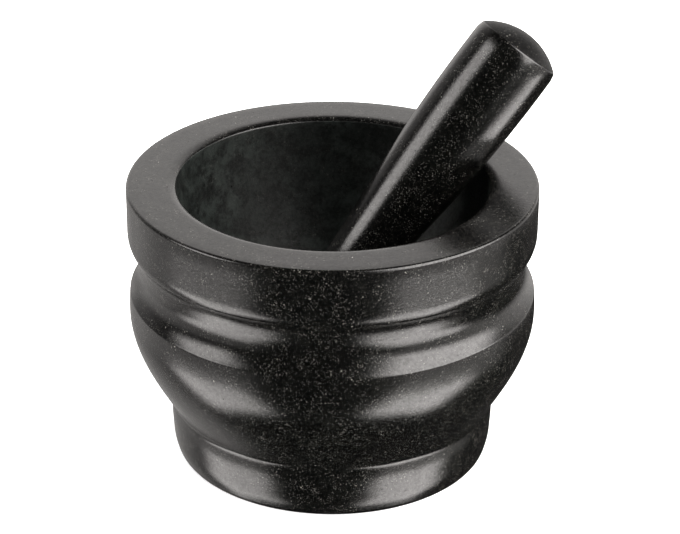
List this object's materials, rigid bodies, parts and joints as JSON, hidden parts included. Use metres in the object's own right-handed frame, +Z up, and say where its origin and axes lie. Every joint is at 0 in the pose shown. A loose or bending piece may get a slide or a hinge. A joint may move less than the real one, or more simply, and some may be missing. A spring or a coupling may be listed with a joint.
{
  "type": "mortar and pestle",
  "caption": "Turned black granite mortar with a thick flat rim, moulded collar, round belly and foot, with a tapered granite pestle leaning in its bowl.",
  "frame": {"origin": "centre of the flat underside of the mortar's foot", "axes": "+Z up along the mortar's turning axis; +X is the side that the pestle leans towards, and +Y is the far side"},
  "size_m": [0.1656, 0.16, 0.1698],
  "materials": {
    "mortar_granite": "polished",
    "pestle_granite": "polished"
  },
  "bodies": {
    "mortar": {"mortar": "mortar_granite"},
    "pestle": {"pestle": "pestle_granite"}
  },
  "joints": [
    {"name": "pestle_lift", "type": "slide", "parent": "mortar", "child": "pestle", "axis": [0.5913, 0.2036, 0.7804], "range_m": [0, 0.13]}
  ]
}
